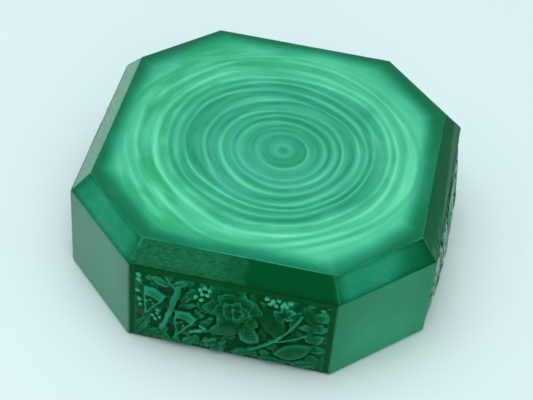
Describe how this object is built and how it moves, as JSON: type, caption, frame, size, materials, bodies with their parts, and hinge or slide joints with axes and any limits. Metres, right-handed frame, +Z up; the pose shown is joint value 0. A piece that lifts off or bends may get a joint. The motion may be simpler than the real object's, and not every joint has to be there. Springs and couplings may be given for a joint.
{
  "type": "powder jar",
  "caption": "Low square dressing-table powder box in marbled green glass, with cut corners, moulded flower sides and a loose bevelled lid.",
  "frame": {"origin": "middle of the underside, on the surface that the box stands on", "axes": "+Z up, the way the lid lifts; -Y is the front moulded side; +X is to the right seen from the front"},
  "size_m": [0.1262, 0.1262, 0.04],
  "materials": {
    "base_glass": "polished marbled dark green glass, nearly opaque",
    "lid_glass": "polished marbled green glass, nearly opaque"
  },
  "bodies": {
    "base": {"jar_base": "base_glass"},
    "lid": {"lid": "lid_glass"}
  },
  "joints": [
    {"name": "lid_lift", "type": "slide", "parent": "base", "child": "lid", "axis": [0, 0, 1], "range_m": [0, 0.06]}
  ]
}
